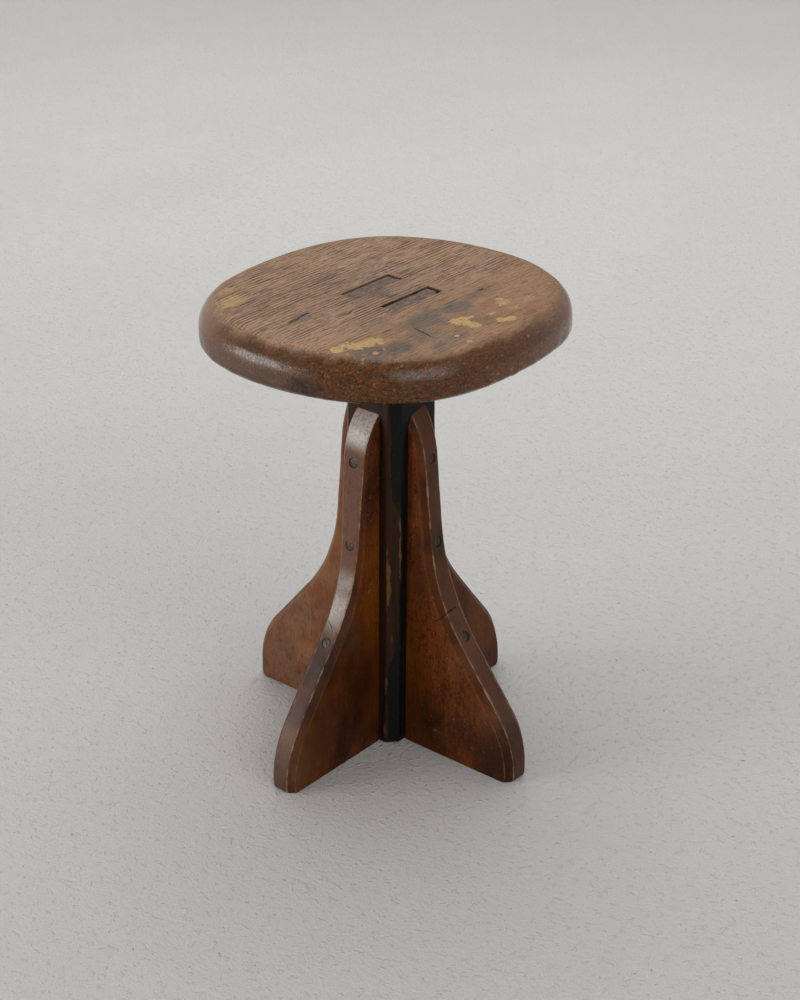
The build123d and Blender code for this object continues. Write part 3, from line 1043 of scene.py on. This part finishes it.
def build_fin(name):
    """One fin, worked out pointing along +X and then turned to its own side."""
    size = sizes()
    turn = FINS[name]
    post_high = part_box("post")[1]
    face = (post_high.x if turn % 180 == 0 else post_high.y) / MM
    seed = 10.0 + turn / 10
    chamfer = size.fin_chamfer / MM
    wear = size.arris_wear / MM
    curves = []
    for edge in FIN_EDGES[name]:
        curve = fin_line(edge, face)
        steps = np.hypot(*np.diff(curve[:, :2], axis=0).T)
        along = np.concatenate([[0], np.cumsum(steps)])
        curves.append((curve, along / along[-1]))

    def tapered(share, side):
        """The chamfer dies out towards the crown on the front left fin."""
        if name == "front_left":
            fade = min(1.0, max(0.0, (share - 0.5) / 0.45))
            return chamfer * (1 - (0.82 if side > 0 else 0.6) * fade)
        return chamfer * (1 - 0.25 * max(0.0, (share - 0.9) / 0.1))

    def crossing(curve, along, depth):
        """Share of the way along at which the line this deep meets the post."""
        reach = curve[:, 0] - depth * curve[:, 2]
        beyond = np.nonzero(reach < face)[0]
        beyond = beyond[beyond > len(curve) // 2]
        if not len(beyond):
            return 1.0
        k = beyond[0]
        part = (reach[k - 1] - face) / (reach[k - 1] - reach[k])
        return along[k - 1] + (along[k] - along[k - 1]) * part

    def edge_point(curve, along, depth, share):
        """Reach and height this deep below one arris line, some share of the way along."""
        if share > CROWN_SHARE:
            end = crossing(curve, along, depth)
            share = CROWN_SHARE + (share - CROWN_SHARE) / (1 - CROWN_SHARE) * (end - CROWN_SHARE)
        r, h, out_r, out_h = (np.interp(share, along, curve[:, k]) for k in range(4))
        return np.array([r - depth * out_r, h - depth * out_h])

    # Each station is a row of reach, height, place across, arris share and edge share.
    grid = []
    back_shares = [k / BACK_COLUMNS for k in range(1, BACK_COLUMNS + 1)]
    for s in range(STATIONS + 1):
        share = s / STATIONS
        wobble = 0.25 + 0.75 * abs(noise.noise(Vector((share * 22, seed, 1.0))))
        chamfers = tapered(share, -1), tapered(share, 1)
        row = []
        for (depth, across), arris, edge in column_spots(chamfers, wear * (0.5 + 1.4 * wobble)):
            blend = (across + FIN_HALF) / (2 * FIN_HALF)
            one, other = (edge_point(*curve, depth, share) for curve in curves)
            r, h = (1 - blend) * one + blend * other
            r = face if s == STATIONS else max(r, face)
            h = 0.0 if s == 0 else max(h, 0.0)
            row.append((r, h, across, arris, edge))
        lead, tail = (
            [(r + (face - r) * t, h, across, 0.0, 0.0) for t in back_shares]
            for r, h, across, *_ in (row[0], row[-1])
        )
        grid.append(lead[::-1] + row + tail)

    width = len(grid[0])
    turned = Matrix.Rotation(math.radians(turn), 3, "Z")
    points = []
    for r, h, across, _, edge in [spot for row in grid for spot in row]:
        loose = min(1.0, max(0.0, (r - face) / 8)) * min(1.0, h / 8)
        spot = Vector((r, across, h))
        push = 0.28 * noise.noise(spot * 0.03 + Vector((seed, 0, 0)))
        push += 0.10 * noise.noise(spot * 0.11 + Vector((0, seed, 0)))
        r += loose * edge * push * 1.6
        across -= loose * (1 - edge) * math.copysign(abs(push) * 0.7, across)
        if h < TOE_HEIGHT and r > face + 90:
            r -= TOE_WEAR * (1 - h / TOE_HEIGHT) ** 2 * max(0.0, min(1.0, (r - face - 95) / 12))
        points.append(turned @ (Vector((r, across, h)) * MM))
    faces = sheet(width, STATIONS + 1, 0)
    for a in range(0, STATIONS * width, width):
        faces.append((a, a + width, a + 2 * width - 1, a + width - 1))
    faces.append(tuple(range(width))[::-1])
    end = STATIONS * width
    faces.append(tuple(range(end + BACK_COLUMNS, end + width - BACK_COLUMNS)))
    fin = make_piece(f"fin_leg_{name}", points, faces)
    shares = np.array(grid).reshape(-1, 5)
    paint(fin, "arris", shares[:, 3])
    paint(fin, "edge", shares[:, 4])
    clean(fin, 4e-6)

    cutters = fin_flaws(name)
    for height, _ in SCREWS.values():
        spot, outward = edge_spot(name, height)
        cutters.append(rod(spot - outward * POCKET_FLOOR, outward, size.pocket, 0.03))
    for cutter in cutters:
        cutter.data.transform(turned.to_4x4())
    carved = carve(fin, cutters, ("arris", "edge"))
    x, y, z = np.array(turned.inverted()) @ place_of(fin).T
    # Share low down and out towards the toe.
    paint(fin, "low_toward_toe", np.clip((x / MM - 60) / 110, 0, 1) * np.clip(1.15 - z / 0.13, 0, 1))
    for mark, rows in FIN_MARKS.items():
        strength = marks_over(rows.get(name, ()), x, z)
        paint(fin, mark, strength * (y < 0) if mark == "streak" else strength)
    heads = [edge_spot(name, height)[0] for height, _ in SCREWS.values()]
    clear = np.min([np.hypot(y, np.hypot(x - h.x, z - h.z)) for h in heads], axis=0)
    # Painted shade in the cuts away from the screw pockets.
    paint(fin, "recess_shade", (carved > CARVED) & (clear > size.pocket + 0.002))
    edge = numbers_of(fin, "edge")
    for side in fin.data.polygons:
        side.material_index = int(np.mean(edge[list(side.vertices)]) > 0.8)
    soften(fin, 30)
    return fin


# Post ----------


def post_ring(half_x, half_y, corner, wear):
    """Points round the post with its planed corners and their worn arrises."""
    corners = ((half_x, half_y), (-half_x, half_y), (-half_x, -half_y), (half_x, -half_y))
    stops = []
    for index, (cx, cy) in enumerate(corners):
        flat = [
            np.array([cx, cy - math.copysign(corner, cy)]),
            np.array([cx - math.copysign(corner, cx), cy]),
        ]
        stops += flat[::-1] if index % 2 else flat
    ring = []
    for k, here in enumerate(stops):
        before = stops[k - 1] - here
        gap = stops[(k + 1) % len(stops)] - here
        start = here + before / np.hypot(*before) * wear
        end = here + gap / np.hypot(*gap) * wear
        ring += [start, start * 0.25 + here * 0.5 + end * 0.25, end]
        steps = 8 if np.hypot(*gap) > 2 * corner else 4
        ring += [here + gap * step / steps for step in range(1, steps)]
    return ring


def build_tenon(side, reach, depth, foot, top):
    """One of the twin tenons, open along one long side and one end."""
    if side < 0:
        x0, x1 = -reach + 0.0008, -reach + TENON_THICKNESS
        y0, y1 = -depth + 0.0002, depth - 0.0012
    else:
        x0, x1 = reach - TENON_THICKNESS + sizes().mortise_gap, reach
        y0, y1 = -depth + 0.0002, depth - 0.0020
    xs = lines_between([x0, x0 + 0.0006, x1 - 0.0006, x1], 0.0011)
    ys = lines_between([y0, y0 + 0.0006, y1 - 0.0006, y1], 0.0015)
    columns, rows = len(xs), len(ys)
    points = [(x, y, foot) for y in ys for x in xs]
    layer = len(points)
    for j, y in enumerate(ys):
        for i, x in enumerate(xs):
            h = top + 0.00045 * ripple((x, y, 0), 90, side * 4.0)
            h += 0.0002 * ripple((x, y, 0), 420, side * 2.0)
            h -= 0.0004 * (i in (0, columns - 1) or j in (0, rows - 1))
            if side > 0:
                broken = (x - (x1 - 0.004)) / 0.004 + (y - (y1 - 0.007)) / 0.007
                h -= 0.006 * min(1.0, max(0.0, broken - 0.55))
            points.append((x, y, h))
    ring = [j * columns + i for i, j in rectangle_loop(0, columns - 1, 0, rows - 1)]
    faces = sheet(columns, rows, 0) + sheet(columns, rows, layer)
    faces += band_faces([ring, [k + layer for k in ring]])
    tenon = make_piece("tenon", points, faces)
    clean(tenon)
    return tenon


def build_post():
    size = sizes()
    half_x, half_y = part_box("post")[1][:2]
    shoulder, seat_top = (corner.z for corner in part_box("seat"))
    points, rings = [], []
    for h in [0.0, 0.0008, FOOT_BEVEL] + lines_between([0.004, shoulder], 0.0035):
        bevel = max(0.0, FOOT_BEVEL - h)
        wear = size.arris_wear * (0.6 + 0.8 * abs(noise.noise(Vector((h * 40, 3.0, 0.0)))))
        ring = post_ring(half_x - bevel, half_y - bevel, size.post_corner, wear)
        rings.append([*range(len(points), len(points) + len(ring))])
        for x, y in ring:
            push = -0.00022 * abs(ripple((x, y, h), 40, 4.0))
            far = math.hypot(x, y)
            points.append((x + x / far * push, y + y / far * push, h))
    post = make_piece("post_bar", points, band_faces(rings) + [rings[0][::-1], rings[-1]])
    clean(post)

    tenon_top = seat_top - size.tenon_sunk
    parts = [build_tenon(side, half_x, half_y, shoulder - TENON_FOOT, tenon_top) for side in (-1, 1)]
    with bpy.context.temp_override(active_object=post, selected_editable_objects=[post, *parts]):
        bpy.ops.object.join()
    soften(post, 32)
    x, y, z = place_of(post).T
    on_side = np.abs(np.abs(y) - half_y) < 0.0012
    bare = {"worn": np.where(on_side, 0.5, 0.0) + 0.35 * np.clip(1 - z / 0.06, 0, 1), "tan": 0.0}
    for mark, rows in POST_MARKS.items():
        for mid_x, mid_y, mid_z, across, tall, strength in rows:
            beside = ((x / MM - mid_x) ** 2 + (y / MM - mid_y) ** 2) / across**2
            far = beside + ((z / MM - mid_z) / tall) ** 2
            bare[mark] = bare[mark] + strength * np.exp(-0.5 * far)
        paint(post, mark, bare[mark])
    above = z > shoulder + 0.001
    paint(post, "end", above)
    # Painted shade down the tenon sides inside the mortises.
    paint(post, "recess_shade", above * (z < tenon_top - 0.0012))
    return post


# Screws ----------


def build_screw_blank(name, diameter, length, slot_width):
    """One wood screw along -Z from the flat of its head, with a slot and a gimlet point."""
    head = diameter / 2
    shank = 0.0025
    root = shank * 0.78
    pitch = 0.0021
    depth = length * 0.4
    profile = [(0.0, 0.00005), (head * 0.55, 0.00004), (head * 0.9, -0.00005), (head, -0.00035)]
    profile += [(head, -0.0006), (shank, -0.0006 - head + shank), (shank, -depth)]
    while depth < length - 0.006:
        profile += [(root, -depth - pitch * 0.35), (root, -depth - pitch * 0.6), (shank, -depth - pitch)]
        depth += pitch
    profile += [(root, -depth - pitch * 0.5), (0.0, -length)]
    turns = [2 * math.pi * k / SCREW_SIDES for k in range(SCREW_SIDES)]
    points, rings = [(0.0, 0.0, profile[0][1])], []
    for radius, height in profile[1:-1]:
        rings.append([*range(len(points), len(points) + SCREW_SIDES)])
        points += [(radius * math.cos(turn), radius * math.sin(turn), height) for turn in turns]
    tip = len(points)
    points.append((0.0, 0.0, profile[-1][1]))
    faces = band_faces(rings)
    for a, b in ((0, rings[0]), (tip, rings[-1])):
        faces += [(a, b[k - 1], b[k]) for k in range(SCREW_SIDES)]
    screw = make_piece(name, points, faces)
    clean(screw)
    ends = (-head * 1.2, head * 1.2)
    sides = (-slot_width / 2, slot_width / 2)
    corners = [(x, y, z) for x in ends for y in sides for z in (-0.0011, 0.001)]
    walls = [(0, 1, 3, 2), (4, 6, 7, 5), (0, 4, 5, 1), (2, 3, 7, 6), (0, 2, 6, 4), (1, 5, 7, 3)]
    slot = make_piece("cutter", corners, walls)
    clean(slot)
    carve(screw, [slot])
    soften(screw, 35)
    return screw


def screw_tree(material):
    """Node tree that sets one of the blanks on every point, turned the point's own way."""
    tree = bpy.data.node_groups.new("screws_on_fins", "GeometryNodeTree")
    for name, way, kind in (
        ("Places", "INPUT", "Geometry"),
        ("Blanks", "INPUT", "Collection"),
        ("Girth", "INPUT", "Float"),
        ("Seed", "INPUT", "Int"),
        ("Screws", "OUTPUT", "Geometry"),
    ):
        tree.interface.new_socket(name, in_out=way, socket_type=f"NodeSocket{kind}")

    def new(kind, inputs=None, output=0, **settings):
        return add_node(tree, kind, inputs, **settings).outputs[output]

    given = tree.nodes.new("NodeGroupInput").outputs
    blanks = {"Collection": given["Blanks"], "Separate Children": True}
    turn = new("GeometryNodeInputNamedAttribute", {"Name": "turn"}, data_type="FLOAT_VECTOR")
    spin = {2: 0.0, 3: math.pi, "Seed": given["Seed"]}
    spin = new("FunctionNodeRandomValue", spin, 1, data_type="FLOAT")
    own = new("FunctionNodeEulerToRotation", {0: new("ShaderNodeCombineXYZ", {2: spin})})
    aim = new("FunctionNodeEulerToRotation", {0: turn})
    placed = {
        "Points": given["Places"],
        "Instance": new("GeometryNodeCollectionInfo", blanks),
        "Pick Instance": True,
        "Instance Index": new("GeometryNodeInputNamedAttribute", {"Name": "kind"}, data_type="INT"),
        "Rotation": new("FunctionNodeRotateRotation", {0: aim, 1: own}, rotation_space="LOCAL"),
        "Scale": new("ShaderNodeCombineXYZ", {0: given["Girth"], 1: given["Girth"], 2: 1.0}),
    }
    real = new("GeometryNodeRealizeInstances", {0: new("GeometryNodeInstanceOnPoints", placed)})
    coat = new("GeometryNodeSetMaterial", {"Geometry": real, "Material": material})
    add_node(tree, "NodeGroupOutput", {0: coat})
    return tree


def build_screws(material):
    """All twelve screws as one piece, each square to its fin's edge."""
    spots, turns, kinds, names = [], [], [], []
    for fin, angle in FINS.items():
        turned = Matrix.Rotation(math.radians(angle), 3, "Z")
        for kind, (place, (height, _)) in enumerate(SCREWS.items()):
            spot, outward = edge_spot(fin, height)
            spots.append(turned @ (spot - outward * HEAD_SUNK))
            turns += (turned @ outward).to_track_quat("Z", "Y").to_euler()
            kinds.append(kind)
            names.append(f"screw_{fin}_{place}")
    low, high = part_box(names[0])
    blanks = bpy.data.collections.new("screw_blanks")
    for kind, (_, length) in enumerate(SCREWS.values()):
        blank = build_screw_blank(f"blank_{kind}", high.y - low.y, length * MM, sizes().slot_width)
        bpy.context.scene.collection.objects.unlink(blank)
        blanks.objects.link(blank)
    screws = make_piece("wood_screws", spots, [])
    layer = screws.data.attributes.new("turn", "FLOAT_VECTOR", "POINT")
    layer.data.foreach_set("vector", turns)
    layer = screws.data.attributes.new("kind", "INT", "POINT")
    layer.data.foreach_set("value", kinds)
    modifier = screws.modifiers.new("screws", "NODES")
    modifier.node_group = screw_tree(material)
    values = {"Blanks": blanks, "Girth": 1.0, "Seed": 7}
    for item in modifier.node_group.interface.items_tree:
        if item.in_out == "INPUT" and item.name in values:
            modifier[item.identifier] = values[item.name]
    bpy.data.meshes.remove(bake_modifiers(screws))
    for blank in list(blanks.objects):
        bpy.data.objects.remove(blank)
    bpy.data.collections.remove(blanks)
    return screws, names


# Stage ----------


def add_lamp(name, spot, target, width, height, power, colour):
    light = bpy.data.lights.new(name, "AREA")
    light.shape = "RECTANGLE"
    light.size, light.size_y = width, height
    light.energy = power
    light.color = colour
    lamp = bpy.data.objects.new(name, light)
    lamp.location = spot
    lamp.rotation_euler = (Vector(target) - Vector(spot)).to_track_quat("-Z", "Y").to_euler()
    bpy.context.scene.collection.objects.link(lamp)


def build_stage():
    scene = bpy.context.scene
    corners = [(x * FLOOR_REACH, y * FLOOR_REACH, 0) for x, y in ((-1, -1), (1, -1), (1, 1), (-1, 1))]
    floor = make_piece("floor", corners, [(0, 1, 2, 3)])
    floor.data.materials.append(floor_finish())

    scene.world = bpy.data.worlds.new("room")
    scene.world.use_nodes = True
    tree = scene.world.node_tree
    tree.nodes.clear()
    sky = add_node(tree, "ShaderNodeBackground", {0: (*hue("F4F2EE"), 1), 1: SKY_STRENGTH})
    add_node(tree, "ShaderNodeOutputWorld", {0: sky.outputs[0]})
    for lamp in LAMPS:
        add_lamp(*lamp)

    lens = bpy.data.cameras.new("camera")
    lens.sensor_fit = "VERTICAL"
    lens.sensor_height = SENSOR_HEIGHT
    lens.lens = FOCAL_LENGTH
    camera = bpy.data.objects.new("camera", lens)
    pose = Matrix(CAMERA_TURN).transposed().to_4x4()
    camera.matrix_world = Matrix.Translation(CAMERA_SPOT) @ pose
    scene.collection.objects.link(camera)
    scene.camera = camera
    scene.view_settings.view_transform = "Standard"


# Add-on ----------


class STOOL_OT_seat(bpy.types.Operator):
    """Make the plank seat with its mortises, cracks and worn paint"""

    bl_idname = "stool.seat"
    bl_label = "Make Seat"

    def execute(self, context):
        finish_piece(build_seat(), [seat_finish()], "seat_wood", "seat")
        return {"FINISHED"}


class STOOL_OT_post(bpy.types.Operator):
    """Make the chamfered post with its twin tenons"""

    bl_idname = "stool.post"
    bl_label = "Make Post"

    def execute(self, context):
        finish_piece(build_post(), [post_finish()], "painted_wood", "post")
        return {"FINISHED"}


class STOOL_OT_fins(bpy.types.Operator):
    """Make the four fin legs with their screw pockets"""

    bl_idname = "stool.fins"
    bl_label = "Make Fins"

    def execute(self, context):
        coats = [fin_finish("fin_sides", False), fin_finish("fin_edges", True)]
        for name in FINS:
            finish_piece(build_fin(name), coats, "fin_wood", f"fin_{name}")
        return {"FINISHED"}


class STOOL_OT_screws(bpy.types.Operator):
    """Set the twelve wood screws in their pockets"""

    bl_idname = "stool.screws"
    bl_label = "Make Screws"

    def execute(self, context):
        steel = screw_finish()
        screws, names = build_screws(steel)
        finish_piece(screws, [steel], "screw_steel", *names)
        return {"FINISHED"}


class STOOL_OT_stage(bpy.types.Operator):
    """Lay the floor and set the lamps and the camera"""

    bl_idname = "stool.stage"
    bl_label = "Make Stage"

    def execute(self, context):
        build_stage()
        return {"FINISHED"}


class STOOL_PT_panel(bpy.types.Panel):
    """Sizes, colours and the pieces of the stool"""

    bl_label = "Stool"
    bl_idname = "STOOL_PT_panel"
    bl_space_type = "VIEW_3D"
    bl_region_type = "UI"
    bl_category = "Stool"

    def draw(self, context):
        layout = self.layout
        for group in (context.scene.stool_sizes, context.scene.stool_colours):
            box = layout.box()
            for key in group.__annotations__:
                box.prop(group, key)
        for operator in OPERATORS:
            layout.operator(operator.bl_idname)


OPERATORS = (STOOL_OT_seat, STOOL_OT_post, STOOL_OT_fins, STOOL_OT_screws, STOOL_OT_stage)
CLASSES = (StoolSizes, StoolColours, *OPERATORS, STOOL_PT_panel)


def register():
    for item in CLASSES:
        bpy.utils.register_class(item)
    bpy.types.Scene.stool_sizes = bpy.props.PointerProperty(type=StoolSizes)
    bpy.types.Scene.stool_colours = bpy.props.PointerProperty(type=StoolColours)


def unregister():
    del bpy.types.Scene.stool_colours
    del bpy.types.Scene.stool_sizes
    for item in reversed(CLASSES):
        bpy.utils.unregister_class(item)


def main():
    register()
    bpy.ops.stool.stage()
    bpy.ops.stool.seat()
    bpy.ops.stool.post()
    bpy.ops.stool.fins()
    bpy.ops.stool.screws()


if __name__ == "__main__":
    main()
